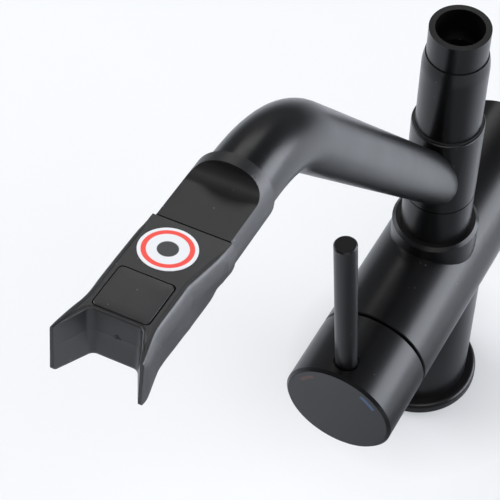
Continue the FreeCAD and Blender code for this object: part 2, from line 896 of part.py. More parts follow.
def all_nodes():
    return {
        "base_gasket": base_gasket(),
        "base_flange": base_flange(),
        "shank": shank(),
        "rubber_washer": rubber_washer(),
        "steel_washer": steel_washer(),
        "lock_nut": lock_nut(),
        "mixer_body": mixer_body(),
        "rear_cap": rear_cap(),
        "rear_cap_seal": rear_cap_seal(),
        "riser_seal": riser_seal(),
        "riser_tube": riser_tube(),
        "neck_sleeve": neck_sleeve(),
        "swivel_washer_lower": swivel_washer(hub_bottom - swivel_washer_thickness),
        "swivel_washer_upper": swivel_washer(hub_top),
        "riser_collar": riser_collar(),
        "collar_grub_screw": collar_grub_screw(),
        "upper_tube": upper_tube(),
        "cartridge_body": cartridge_body(),
        "cartridge_seals": cartridge_seals(),
        "cartridge_rotor": cartridge_rotor(),
        "stem_pin": stem_pin(),
        "cartridge_stem": cartridge_stem(),
        "retaining_nut": retaining_nut(),
        "dome_cover": dome_cover(),
        "handle_drum": handle_drum(),
        "face_disc": face_disc(),
        "hot_mark": on_handle(colour_mark(-1)),
        "cold_mark": on_handle(colour_mark(1)),
        "lever_pin": lever_pin(),
        "handle_grub_screw": handle_grub_screw(),
        "swivel_arm": swivel_arm(),
        "swivel_bush_lower": swivel_bush(hub_bottom),
        "swivel_bush_upper": swivel_bush(hub_top - bush_length),
        "end_fitting": end_fitting(),
        "fork_holder": fork_holder(),
        "holder_screw": on_fork(screw_shape()),
        "magnet": on_fork(magnet_block(0.0)),
        "magnet_cover": magnet_cover(),
        "round_label": round_label(),
    }


os.makedirs("parts", exist_ok=True)
for name, shape in all_nodes().items():
    shape.exportStep("parts/" + name + ".step")
    print(name, len(shape.Solids), shape.isValid(), round(shape.Volume, 1))
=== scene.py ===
"""Looks of a matt black kitchen mixer whose swivel arm ends in a magnetic fork for a spray head."""

import json
from math import cos, radians, sin

import bpy
import numpy as np
from mathutils import Matrix, Vector


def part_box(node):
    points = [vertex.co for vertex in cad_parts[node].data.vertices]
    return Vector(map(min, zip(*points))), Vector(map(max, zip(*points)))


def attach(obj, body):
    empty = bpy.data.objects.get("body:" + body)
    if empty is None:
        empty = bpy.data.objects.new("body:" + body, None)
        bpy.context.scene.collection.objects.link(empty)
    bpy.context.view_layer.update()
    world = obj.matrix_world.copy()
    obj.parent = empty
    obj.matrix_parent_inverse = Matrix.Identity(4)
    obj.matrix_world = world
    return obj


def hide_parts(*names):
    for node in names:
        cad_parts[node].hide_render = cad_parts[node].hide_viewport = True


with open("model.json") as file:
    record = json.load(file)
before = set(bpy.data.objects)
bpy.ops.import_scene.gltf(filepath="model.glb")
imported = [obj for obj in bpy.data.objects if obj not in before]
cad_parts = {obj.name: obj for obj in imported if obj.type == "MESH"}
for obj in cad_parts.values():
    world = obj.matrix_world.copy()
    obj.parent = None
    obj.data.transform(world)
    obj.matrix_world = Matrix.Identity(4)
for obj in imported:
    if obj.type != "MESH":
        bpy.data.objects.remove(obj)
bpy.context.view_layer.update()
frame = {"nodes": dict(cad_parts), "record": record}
MM = 0.001

# Camera, in metres and in pixels of the 500 x 500 frame
CAMERA_PLACE = (0.16061, -0.44864, 0.70984)
CAMERA_FORWARD = (-0.29420, 0.52724, -0.79716)
CAMERA_RIGHT = (0.87340, 0.48701, -0.00023)
CAMERA_UP = (-0.38810, 0.69630, 0.60377)
FOCAL_PIXELS = 1800.0
FRAME_PIXELS = 500.0
SENSOR = 36.0

# Lamps: the place they all face, and the tint of the two cool ones
LIT_CENTRE = (0.0, -0.1, 0.2)
COOL = (0.93, 0.97, 1.06)

# World: tones at the horizon and above it, and the heights between which one turns to the other
WORLD_LOW = (0.25, 0.255, 0.27)
WORLD_HIGH = (0.16, 0.165, 0.175)
WORLD_FADE = (0.05, 0.30)

# Floor, in metres. Tones that the camera sees, by distance along Y, which painted shade makes darker
# towards the back
FLOOR_HALF = 6.0
FLOOR_ROUGHNESS = 0.4
FLOOR_FRONT = (0.955, 0.965, 0.975)
FLOOR_BACK_PAINTED_SHADE = (0.81, 0.82, 0.83)
FLOOR_BACK_FADE = (-0.13, 0.20)
# Painted shade far behind, for the camera and in what the tap mirrors, by distance along Y
FLOOR_PAINTED_SHADE_BEHIND = (0.13, 0.135, 0.14)
FLOOR_BEHIND_FADE = (0.35, 1.1)
# Tones that the tap mirrors, by distance from the darkest place of their painted shade
FLOOR_OPEN = (0.84, 0.865, 0.905)
FLOOR_SHADE = (0.22, 0.23, 0.245)
FLOOR_SHADE_CENTRE = (0.11, -0.09, 0.0)
FLOOR_SHADE_FADE = (0.08, 0.18)
# Glowing tones that the camera sees, by distance from the column's axis, with painted shadow round the
# base, and their share, which fills in the real shadows with painted light
FLOOR_PAINTED_SHADOW_AT_BASE = (0.56, 0.57, 0.59)
FLOOR_PAINTED_SHADOW_NEAR_BASE = (0.885, 0.895, 0.91)
FLOOR_AWAY = (0.925, 0.935, 0.95)
FLOOR_PAINTED_SHADOW_FADE = (0.028, 0.062)
FLOOR_AWAY_FADE = (0.062, 0.15)
FLOOR_PAINTED_GLOW_SHARE = 0.6

# The fork's own frame: distances across it, outward along it and up from its flat top, in mm
ARM_TURN = radians(3.5)
END_RISE = radians(10.2)
LABEL_OFFSET = -2.3
LABEL_FORWARD = 9.9
LABEL_HALF_THICKNESS = 0.1
LABEL_RADIUS = 7.75
FORK_OFFSET = -2.1
FORK_DEPTH = 15.1
FORK_TIP = 47.0
TIP_CORNER = 1.0

# Skins over the fork: lift off the solid, thickness, and distance at which they end before the tips
LIFT = 0.012
SKIN_THICKNESS = 0.22
SKIN_TIP_INSET = 0.08

# The fork's round rear end: distance along the fork, centre across it, radius, depth of the centre,
# half width of a side's foot, and how fast the round shape turns into a side (the higher, the sooner)
ROUND_STATION = 3.6
ROUND_CENTRE = -0.6
ROUND_RADIUS = 12.41
ROUND_DROP = 5.45
ROUND_FOOT = 10.15
ROUND_FADE = 12
# Its arc's angles: what the flange adds above the start, the end of the side, and the part below
ROUND_FLANGE = 0.01
ROUND_SIDE_END = radians(-42)
ROUND_BELOW = (radians(-46), radians(-82))
ROUND_BELOW_POINTS = 10
# Number of profiles between the rear end and the first station of the sides
ROUND_PROFILES = 12

# The fork's sides, by distance along the fork: half width of the flat top, of the side's middle and
# of its foot, what the left flare adds to the first two, depth of the middle, and rounding of the
# lower edge
SIDE_STATIONS = np.array([18.5, 20.5, 26.0, 33.0, 35.0, 37.0, 39.0, 41.0, 43.0, 45.0,
                          FORK_TIP - SKIN_TIP_INSET])
SIDE_TOP = np.array([9.60, 9.60, 9.60, 9.60, 9.64, 9.75, 10.05, 10.45, 10.93, 11.50, 12.15])
SIDE_MIDDLE = np.array([11.35, 11.35, 11.35, 11.22, 11.24, 11.47, 11.82, 12.21, 12.59, 12.80, 12.56])
SIDE_FOOT = np.array([11.36, 11.28, 11.14, 10.92, 10.98, 11.30, 11.68, 12.11, 12.51, 12.72, 12.46])
LEFT_FLARE = np.array([0.0, 0.0, 0.0, 0.05, 0.25, 0.50, 0.55, 0.50, 0.40, 0.25, 0.0])
SIDE_UPRIGHT = np.array([6.0, 6.0, 6.0, 6.0, 5.6, 5.0, 4.5, 4.5, 4.4, 3.8, 1.2])
SIDE_LOW_EDGE = np.array([1.2, 1.2, 1.2, 1.1, 1.0, 0.9, 0.8, 0.7, 0.6, 0.5, 0.35])
# How far a side's skin reaches in on the flat top and on the underside, and the line inside the side
# (half width, height) towards which it is thick
SIDE_FLANGE = 0.7
SIDE_UNDERLAP = 0.05
SIDE_AXIS = (5.0, -7.0)
# Rows of points lie closer together from here on
FLARE_START = 33.0
FLARE_GAP = 0.25

# The throat's lining, just inside the walls: half widths at the flat top and at the underside, on the
# root and at the tips
THROAT_ROOT = 36.92
ROOT_HALF_RIGHT = (7.05, 6.18)
ROOT_HALF_LEFT = (7.50, 6.18)
TIP_HALF = (11.67, 11.48)
THROAT_CORNER = 2.2
# Its rim's radius, how far it reaches onto the flat top, the share of both that is left at a tip, and
# the distance from the tip over which they shrink
RIM = 0.38
RIM_FLANGE = 1.0
RIM_NEAR_TIP = 0.35
RIM_TIP_REACH = 4.0
# Heights of its rows above and below the parting line, and the highest that its back comes
LINING_ABOVE = [-3.0]
LINING_BELOW = [-10.0, -12.5, -14.0, -14.5, -15.1]
LINING_BACK_TOP = -0.3

# The mould's parting line on the lining: depth, width, and the ridge's heights from above to below
PARTING_DEPTH = 6.7
PARTING_WIDTH = 0.10
PARTING_STEPS = np.array([3.0, 1.2, 0.5, 0.0, -0.5, -1.2, -3.0])
PARTING_HEIGHTS = 0.025 * np.array([0.0, 0.0, 0.0, 0.8, 1.0, 0.8, 0.0])

# The gate mark on the throat's root wall: place across and down, radius, and its turned profile by
# distance off its own axis and height off the wall
GATE_PLACE = (-1.8, 6.8)
GATE_RADIUS = 0.85
GATE_AWAY = GATE_RADIUS * np.array([0.0, 1.0, 1.0, 0.86, 0.70, 0.52, 0.40, 0.34, 0.20, 0.0])
GATE_PROUD = np.array([-0.1, -0.1, 0.05, 0.12, 0.10, 0.02, 0.05, 0.22, 0.26, 0.24])

# The magnet's cover: place, half sizes, corner, rounding of the upper edge, thickness, how far it
# lies below the flat top, bevel of its lower edge, and insets of its inner rows of points
COVER_MIDDLE = (-2.27, 27.88)
COVER_HALF = (7.66, 7.50)
COVER_CORNER = 1.3
COVER_ROUND = 0.32
COVER_DEPTH = 1.9
COVER_SUNK = 0.02
COVER_BEVEL = 0.4
COVER_INNER = (7.0, 3.5)


def turned_with_arm(x, y, z):
    """A direction in the plane of the unturned arm, turned to where the arm rests."""
    return np.array([x * cos(ARM_TURN) - y * sin(ARM_TURN), x * sin(ARM_TURN) + y * cos(ARM_TURN), z])


ACROSS = turned_with_arm(1, 0, 0)
OUTWARD = turned_with_arm(0, -cos(END_RISE), sin(END_RISE))
UPWARD = turned_with_arm(0, sin(END_RISE), cos(END_RISE))


def middle(node):
    """Centre of a node's box, in metres."""
    low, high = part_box(node)
    return np.array((low + high) / 2)


LABEL_CENTRE = middle("round_label")
FORK_ORIGIN = (LABEL_CENTRE - ACROSS * LABEL_OFFSET * MM - OUTWARD * LABEL_FORWARD * MM
               - UPWARD * LABEL_HALF_THICKNESS * MM)


def on_fork(across, outward, up):
    """Origin of the fork's frame plus the three distances along its axes, for whole arrays at once."""
    across, outward, up = np.broadcast_arrays(across, outward, up)
    return (FORK_ORIGIN + across[..., None] * MM * ACROSS + outward[..., None] * MM * OUTWARD
            + up[..., None] * MM * UPWARD)


# Meshes

def surface(name, grid, closed_u=False, closed_v=False):
    """Mesh of quads over a grid of points; either direction may close on itself."""
    rows, columns = grid.shape[:2]
    numbers = np.arange(rows * columns).reshape(rows, columns)
    if closed_u:
        numbers = np.vstack([numbers, numbers[:1]])
    if closed_v:
        numbers = np.hstack([numbers, numbers[:, :1]])
    quads = np.stack([numbers[:-1, :-1], numbers[1:, :-1], numbers[1:, 1:], numbers[:-1, 1:]], -1)
    mesh = bpy.data.meshes.new(name)
    mesh.from_pydata(grid.reshape(-1, 3).tolist(), [], quads.reshape(-1, 4).tolist())
    mesh.polygons.foreach_set("use_smooth", np.ones(len(mesh.polygons), bool))
    mesh.update()
    piece = bpy.data.objects.new(name, mesh)
    bpy.context.scene.collection.objects.link(piece)
    return piece


def hermite(stations, values, at):
    """Smooth curve through values at stations: cubics whose slopes are those of the neighbours."""
    slopes = np.gradient(values, stations, axis=0)
    left = np.clip(np.searchsorted(stations, at, side="right") - 1, 0, len(stations) - 2)
    step = stations[left + 1] - stations[left]
    t = (at - stations[left]) / step
    shape = (-1,) + (1,) * (values.ndim - 1)
    t = t.reshape(shape)
    step = step.reshape(shape)
    return ((2 * t**3 - 3 * t**2 + 1) * values[left] + (t**3 - 2 * t**2 + t) * step * slopes[left]
            + (3 * t**2 - 2 * t**3) * values[left + 1] + (t**3 - t**2) * step * slopes[left + 1])


def fork_underside(outward):
    """Height of the fork's flat underside, which a quarter circle lifts at the prongs' tips."""
    past = np.clip((outward - (FORK_TIP - TIP_CORNER)) / TIP_CORNER, 0.0, 1.0)
    return -FORK_DEPTH + TIP_CORNER * (1 - np.sqrt(1 - past**2))


def side_profile(top, middle, foot, upright, low_edge, centre_line):
    """Half widths and heights down one side, from the flat top's edge to the underside.

    A quarter ellipse leads from the flat top to the side's middle. A straight line goes on from
    there to the foot and ends in a quarter circle.
    """
    turn = np.radians(np.linspace(0.0, 90.0, 20))
    across = np.concatenate([
        [top - SIDE_FLANGE], top + (middle - top) * np.sin(turn),
        middle + (foot - middle) * np.linspace(0.2, 1.0, 6),
        foot - low_edge * (1 - np.cos(turn[2::2])), [foot - low_edge - SIDE_UNDERLAP]])
    straight_end = -FORK_DEPTH - LIFT + low_edge
    up = np.concatenate([
        [LIFT], LIFT - upright * (1 - np.cos(turn)),
        -upright + (straight_end + upright) * np.linspace(0.2, 1.0, 6),
        straight_end - low_edge * np.sin(turn[2::2]), [-FORK_DEPTH - LIFT]])
    return np.stack([centre_line + 0 * across, across, up], -1)


def round_profile(count):
    """The same points round the rear end: an arc from the flat top's edge to near the bottom."""
    top = np.arcsin(ROUND_DROP / ROUND_RADIUS)
    beside = count - ROUND_BELOW_POINTS - 1
    turn = np.concatenate([[top + ROUND_FLANGE], np.linspace(top, ROUND_SIDE_END, beside),
                           np.linspace(*ROUND_BELOW, ROUND_BELOW_POINTS)])
    return np.stack([np.full(count, ROUND_CENTRE), ROUND_RADIUS * np.cos(turn),
                     -ROUND_DROP + ROUND_RADIUS * np.sin(turn)], -1)


def fork_side(name, sign):
    """Thin skin over one side of the fork: profiles joined by smooth curves along the fork.

    From the round rear end to the first station, straight lines lead from one profile to the
    other, and what makes the rear end round fades with a power of the distance that is left. The
    skin's back is the same surface moved towards a line inside the side by its thickness, which
    goes to nothing at both ends, so the skin is closed all round.
    """
    wider = LEFT_FLARE if sign < 0 else 0.0 * LEFT_FLARE
    rows = zip(SIDE_TOP + wider, SIDE_MIDDLE + wider, SIDE_FOOT, SIDE_UPRIGHT, SIDE_LOW_EDGE)
    profiles = np.stack([side_profile(*row, FORK_OFFSET) for row in rows])
    rear = round_profile(profiles.shape[1])
    plain_rear = side_profile(rear[1, 1], ROUND_RADIUS, ROUND_FOOT, ROUND_DROP, SIDE_LOW_EDGE[0],
                              ROUND_CENTRE)
    share = np.linspace(0.0, 1.0, ROUND_PROFILES + 1)[:-1]
    left_over = (1 - share)[:, None, None]
    leading = (profiles[0] + left_over * (plain_rear - profiles[0])
               + left_over**ROUND_FADE * (rear - plain_rear))
    profiles = np.concatenate([leading, profiles])
    stations = np.concatenate([ROUND_STATION + share * (SIDE_STATIONS[0] - ROUND_STATION), SIDE_STATIONS])
    outward = np.concatenate([np.linspace(stations[0], FLARE_START, 50),
                              np.linspace(FLARE_START + FLARE_GAP, stations[-1], 70)])
    face = hermite(stations, profiles, outward)
    face[..., 2] = np.maximum(face[..., 2], fork_underside(outward)[:, None] - LIFT)
    inward = np.array([0.0, *SIDE_AXIS]) - face * [0.0, 1.0, 1.0]
    inward /= np.linalg.norm(inward, axis=-1, keepdims=True)
    thickness = np.full(len(outward), SKIN_THICKNESS)
    thickness[[0, -1]] = 0.0
    back = face + inward * thickness[:, None, None]
    loop = np.concatenate([face, back[:, ::-1]], 1)
    if sign < 0:
        loop = loop[:, ::-1]
    grid = on_fork(loop[..., 0] + sign * loop[..., 1], outward[:, None], loop[..., 2])
    return surface(name, grid, closed_v=True)


def throat_line(root_half, tip_half, sign):
    """One half of the throat's outline at several heights, from a prong's tip to the root's middle.

    A straight wall, a corner of constant radius that touches both lines, and half of the root.
    """
    reach_out = FORK_TIP - SKIN_TIP_INSET - THROAT_ROOT
    along = np.stack([tip_half - root_half, np.full_like(root_half, reach_out)], -1)
    length = np.linalg.norm(along, axis=-1, keepdims=True)
    along /= length
    opening = np.arccos(-along[:, 0])
    reach = THROAT_CORNER / np.tan(opening / 2)
    corner = np.stack([root_half, np.full_like(root_half, THROAT_ROOT)], -1)
    bisector = along + [-1.0, 0.0]
    bisector /= np.linalg.norm(bisector, axis=-1, keepdims=True)
    centre = corner + bisector * (THROAT_CORNER / np.sin(opening / 2))[:, None]
    first = np.arctan2(-along[:, 0], along[:, 1])
    turn = first[:, None] + (-np.pi / 2 - first)[:, None] * np.linspace(0, 1, 14)
    arc = centre[:, None] + THROAT_CORNER * np.stack([np.cos(turn), np.sin(turn)], -1)
    steps = np.linspace(length[:, 0], reach, 24, endpoint=False).T
    wall = steps[..., None] * along[:, None] + corner[:, None]
    end = root_half - reach
    root = np.stack([end[:, None] * np.linspace(1, 0, 13)[1:], np.full((len(end), 12), THROAT_ROOT)], -1)
    line = np.concatenate([wall, arc, root], 1)
    line[..., 0] = FORK_OFFSET + sign * line[..., 0]
    return line


def between(ends, share):
    """Straight line from the first of two values to the second, at the given shares."""
    return ends[0] + share * (ends[1] - ends[0])


def throat_lining():
    """Skin on the throat's walls: its outline at each height, with a rounded rim on top.

    The rim is a quarter ellipse that starts on the flat top. Halfway down, a fine ridge of the
    mould's parting line runs round the walls. The skin's back lies inside them and meets its front
    at both tips.
    """
    turn = np.radians(np.linspace(0.0, 90.0, 9))
    rim_out = np.concatenate([[RIM_FLANGE], RIM * (1 - np.sin(turn))])
    rim_up = np.concatenate([[LIFT], LIFT - RIM * (1 - np.cos(turn))])
    ridge = -PARTING_DEPTH + PARTING_WIDTH * PARTING_STEPS
    down = np.concatenate([rim_up, LINING_ABOVE, ridge, LINING_BELOW])
    outset = np.concatenate([rim_out, np.zeros(len(LINING_ABOVE)), -PARTING_HEIGHTS,
                             np.zeros(len(LINING_BELOW))])
    share = -down / FORK_DEPTH
    right = throat_line(between(ROOT_HALF_RIGHT, share), between(TIP_HALF, share), 1)
    left = throat_line(between(ROOT_HALF_LEFT, share), between(TIP_HALF, share), -1)
    line = np.concatenate([right, left[:, -2::-1]], 1)
    tangent = np.gradient(line, axis=1)
    outward_normal = np.stack([-tangent[..., 1], tangent[..., 0]], -1)
    outward_normal /= np.linalg.norm(outward_normal, axis=-1, keepdims=True)
    near_tip = np.clip((FORK_TIP - line[..., 1:]) / RIM_TIP_REACH, RIM_NEAR_TIP, 1.0)
    front = line + outward_normal * outset[:, None, None] * near_tip
    back = line + outward_normal * SKIN_THICKNESS
    up = np.maximum(down[:, None] + 0 * line[..., 0], fork_underside(line[..., 1]) - LIFT)
    back_up = np.minimum(up, LINING_BACK_TOP)
    back[:, [0, -1]] = front[:, [0, -1]]
    back_up[:, [0, -1]] = up[:, [0, -1]]
    plan = np.concatenate([back, front[::-1]])
    height = np.concatenate([back_up, up[::-1]])
    return surface("throat_lining", on_fork(plan[..., 0], plan[..., 1], height), closed_u=True)


def gate_mark():
    """Where the moulding was filled: a shallow ring with a stub, turned about an axis off the wall.

    Two waves round the axis make its outline look torn.
    """
    turn = np.linspace(0.0, 2 * np.pi, 40, endpoint=False)
    away = GATE_AWAY[:, None] * (1 + 0.16 * np.sin(3 * turn + 0.7) + 0.10 * np.sin(7 * turn))
    across, depth = GATE_PLACE
    grid = on_fork(across + away * np.cos(turn), THROAT_ROOT + GATE_PROUD[:, None],
                   -(depth + away * np.sin(turn)))
    return surface("gate_mark", grid, closed_v=True)


def rounded_outline(half, corner, count):
    """Points round a rectangle with round corners, evenly many on each corner, counterclockwise."""
    turn = np.linspace(0, np.pi / 2, count)
    quarter = np.stack([np.cos(turn), np.sin(turn)], -1) * corner
    quarter += np.array(half) - corner
    flips = ((1, 1), (-1, 1), (-1, -1), (1, -1))
    return np.concatenate([quarter[::sign_x * sign_y] * [sign_x, sign_y] for sign_x, sign_y in flips])


def magnet_cover():
    """Plate whose outline is a rectangle with round corners, with a softly rounded upper edge."""
    turn = np.radians(np.linspace(0, 90, 7))
    inset = np.concatenate([COVER_INNER, COVER_ROUND * (1 - np.sin(turn)),
                            [0.0, COVER_BEVEL, COVER_INNER[0]]])
    up = np.concatenate([[-COVER_SUNK, -COVER_SUNK], -COVER_SUNK - COVER_ROUND * (1 - np.cos(turn)),
                         [-COVER_DEPTH + COVER_BEVEL, -COVER_DEPTH, -COVER_DEPTH]])
    outline = rounded_outline(COVER_HALF, COVER_CORNER, 10)
    share = 1 - inset[:, None, None] / np.array(COVER_HALF)
    rows = outline * np.maximum(share, 0.0)
    pole = np.zeros_like(rows[:1])
    rows = np.concatenate([pole, rows, pole])
    up = np.concatenate([up[:1], up, up[-1:]])
    grid = on_fork(COVER_MIDDLE[0] + rows[..., 0], COVER_MIDDLE[1] + rows[..., 1], up[:, None])
    return surface("rounded_cover", grid[::-1], closed_v=True)


# Shader helpers

def place_node(tree, kind, inputs=None, **settings):
    """Adds a node, sets its properties, and sets or links its inputs by name."""
    made = tree.nodes.new(kind)
    for name, value in settings.items():
        setattr(made, name, value)
    for name, value in (inputs or {}).items():
        if isinstance(value, bpy.types.NodeSocket):
            tree.links.new(value, made.inputs[name])
        else:
            made.inputs[name].default_value = value
    return made


def arithmetic(tree, operation, first, second=0.0):
    """Output of one Math node."""
    return place_node(tree, "ShaderNodeMath", {0: first, 1: second}, operation=operation).outputs[0]


def remap(tree, value, from_low, from_high, to_low, to_high):
    """A value mapped from one range to another, held at its ends."""
    made = place_node(tree, "ShaderNodeMapRange", {
        "Value": value, "From Min": from_low, "From Max": from_high,
        "To Min": to_low, "To Max": to_high}, clamp=True)
    return made.outputs["Result"]


def mixed(tree, factor, first, second):
    """Two colours mixed by a factor."""
    made = place_node(tree, "ShaderNodeMix", data_type="RGBA")
    for index, value in ((0, factor), (6, first), (7, second)):
        if isinstance(value, bpy.types.NodeSocket):
            tree.links.new(value, made.inputs[index])
        elif index == 0:
            made.inputs[0].default_value = value
        else:
            made.inputs[index].default_value = (*value, 1.0)
    return made.outputs[2]


def new_group(name, inputs, outputs):
    """Empty node group with named float inputs, a vector input Place, and named float outputs."""
    tree = bpy.data.node_groups.new(name, "ShaderNodeTree")
    tree.interface.new_socket("Place", in_out="INPUT", socket_type="NodeSocketVector")
    for label, value in inputs.items():
        socket = tree.interface.new_socket(label, in_out="INPUT", socket_type="NodeSocketFloat")
        socket.default_value = value
    for label in outputs:
        tree.interface.new_socket(label, in_out="OUTPUT", socket_type="NodeSocketFloat")
    return tree, tree.nodes.new("NodeGroupInput").outputs, tree.nodes.new("NodeGroupOutput").inputs


def coat_grain():
    """Height of a sprayed or moulded skin, and the slow cloudiness of its gloss."""
    tree, given, result = new_group("coat_grain", {"Grain": 2600.0, "Cloud": 45.0}, ["Height", "Cloud"])
    fine = place_node(tree, "ShaderNodeTexNoise", {
        "Vector": given["Place"], "Scale": given["Grain"], "Detail": 2.0, "Roughness": 0.6})
    pebble = place_node(tree, "ShaderNodeTexVoronoi", {
        "Vector": given["Place"], "Scale": arithmetic(tree, "MULTIPLY", given["Grain"], 0.55)},
        feature="SMOOTH_F1")
    pebbled = arithmetic(tree, "MULTIPLY", pebble.outputs["Distance"], 0.6)
    tree.links.new(arithmetic(tree, "SUBTRACT", fine.outputs[0], pebbled), result["Height"])
    cloud = place_node(tree, "ShaderNodeTexNoise", {
        "Vector": given["Place"], "Scale": given["Cloud"], "Detail": 3.0, "Roughness": 0.55})
    tree.links.new(cloud.outputs[0], result["Cloud"])
    return tree


def dust_specks():
    """Mask of sparse, tiny specks: the inner part of a few cells out of many."""
    tree, given, result = new_group("dust_specks", {"Cells": 900.0, "Size": 0.14, "Share": 0.03}, ["Mask"])
    cells = place_node(tree, "ShaderNodeTexVoronoi", {"Vector": given["Place"], "Scale": given["Cells"]})
    inside = arithmetic(tree, "LESS_THAN", cells.outputs["Distance"], given["Size"])
    chance = place_node(tree, "ShaderNodeSeparateColor", {"Color": cells.outputs["Color"]}).outputs[0]
    chosen = arithmetic(tree, "LESS_THAN", chance, given["Share"])
    tree.links.new(arithmetic(tree, "MULTIPLY", inside, chosen), result["Mask"])
    return tree


def tool_lines():
    """Fine parallel scratches: noise that is drawn out along two of the three axes."""
    tree, given, result = new_group("tool_lines", {"Lines": 4000.0, "Along": 60.0}, ["Height"])
    stretch = place_node(tree, "ShaderNodeCombineXYZ", {
        "X": given["Along"], "Y": given["Along"], "Z": given["Lines"]})
    drawn = place_node(tree, "ShaderNodeVectorMath", {0: given["Place"], 1: stretch.outputs[0]},
                       operation="MULTIPLY")
    lines = place_node(tree, "ShaderNodeTexNoise", {
        "Vector": drawn.outputs[0], "Scale": 1.0, "Detail": 2.0, "Roughness": 0.5})
    tree.links.new(lines.outputs[0], result["Height"])
    return tree


# Range of the cloudiness that changes a coat's gloss and tone, how much darker and lighter the tone
# gets, and the colour of dust
CLOUDED = (0.3, 0.7)
CLOUD_TONES = (0.85, 1.15)
DUST = (0.17, 0.17, 0.17)
# The label's print: colours, and the dot's and the ring's radii as shares of the label's
LABEL_FILM = ((0.76, 0.77, 0.785), (0.81, 0.82, 0.835))
LABEL_RED = (0.86, 0.065, 0.045)
LABEL_DARK = (0.035, 0.035, 0.037)
LABEL_DOT = 0.36
LABEL_RING = (0.705, 0.878)
LABEL_BLUR = 0.012

COAT_GRAIN = coat_grain()
DUST_SPECKS = dust_specks()
TOOL_LINES = tool_lines()


def use_group(tree, group, place, **values):
    """Places a shared group in a material with its own values and returns its outputs."""
    made = place_node(tree, "ShaderNodeGroup", node_tree=group)
    tree.links.new(place, made.inputs["Place"])
    for name, value in values.items():
        made.inputs[name].default_value = value
    return made.outputs


def start_material(name, metallic=0.0):
    """Material with a Principled shader, and its tree, shader and object coordinates."""
    material = bpy.data.materials.new(name)
    material.use_nodes = True
    tree = material.node_tree
    shader = tree.nodes["Principled BSDF"]
    shader.inputs["Metallic"].default_value = metallic
    place = tree.nodes.new("ShaderNodeTexCoord").outputs["Object"]
    return material, tree, shader, place


def bumped(tree, shader, height, depth, strength):
    """Feeds a height, in metres at full scale, to the shader's normal."""
    bump = place_node(tree, "ShaderNodeBump", {"Height": height, "Distance": depth, "Strength": strength})
    tree.links.new(bump.outputs[0], shader.inputs["Normal"])


def skin(name, colour, roughness, grain, depth, dust_share=0.0, spread=0.05, refraction=1.5, cloud=45.0):
    """Sprayed coat or moulded plastic: grained, slightly cloudy, with a few specks of dust."""
    material, tree, shader, place = start_material(name)
    shader.inputs["IOR"].default_value = refraction
    grained = use_group(tree, COAT_GRAIN, place, Grain=grain, Cloud=cloud)
    bumped(tree, shader, grained["Height"], depth, 0.5)
    rough = remap(tree, grained["Cloud"], *CLOUDED, roughness - spread, roughness + spread)
    tree.links.new(rough, shader.inputs["Roughness"])
    darker, lighter = (tuple(tone * part for part in colour) for tone in CLOUD_TONES)
    base = mixed(tree, remap(tree, grained["Cloud"], *CLOUDED, 0.0, 1.0), darker, lighter)
    if dust_share:
        specks = use_group(tree, DUST_SPECKS, place, Share=dust_share)
        base = mixed(tree, specks["Mask"], base, DUST)
    tree.links.new(base, shader.inputs["Base Color"])
    return material


def machined(name, colour, roughness, lines=3500.0, tarnish=0.75):
    """Bare metal with fine tool lines across its axis and a slow change of tone."""
    material, tree, shader, place = start_material(name, metallic=1.0)
    scratched = use_group(tree, TOOL_LINES, place, Lines=lines)
    clouded = use_group(tree, COAT_GRAIN, place, Cloud=120.0)
    bumped(tree, shader, scratched["Height"], 0.00002, 0.5)
    rough = remap(tree, scratched["Height"], *CLOUDED, roughness - 0.08, roughness + 0.08)
    tree.links.new(rough, shader.inputs["Roughness"])
    dull = tuple(tarnish * part for part in colour)
    base = mixed(tree, remap(tree, clouded["Cloud"], 0.35, 0.65, 0.0, 1.0), dull, colour)
    tree.links.new(base, shader.inputs["Base Color"])
    return material


def printed_label():
    """White film with a red ring and a dark dot: bands of the distance from the label's centre."""
    material, tree, shader, place = start_material("printed_label")
    grained = use_group(tree, COAT_GRAIN, place, Grain=1500.0)
    bumped(tree, shader, grained["Height"], 0.00001, 0.3)
    tree.links.new(remap(tree, grained["Cloud"], *CLOUDED, 0.36, 0.46), shader.inputs["Roughness"])
    away = place_node(tree, "ShaderNodeVectorMath", {0: place, 1: tuple(LABEL_CENTRE)},
                      operation="DISTANCE").outputs["Value"]
    radius = LABEL_RADIUS * MM
    blur = LABEL_BLUR * radius

    def beyond(share):
        """0 inside a share of the radius and 1 outside it, with the soft edge of print."""
        return remap(tree, away, share * radius - blur, share * radius + blur, 0.0, 1.0)

    film = mixed(tree, grained["Cloud"], *LABEL_FILM)
    ring = arithmetic(tree, "SUBTRACT", beyond(LABEL_RING[0]), beyond(LABEL_RING[1]))
    dot = arithmetic(tree, "SUBTRACT", 1.0, beyond(LABEL_DOT))
    ringed = mixed(tree, ring, film, LABEL_RED)
    tree.links.new(mixed(tree, dot, ringed, LABEL_DARK), shader.inputs["Base Color"])
    return material


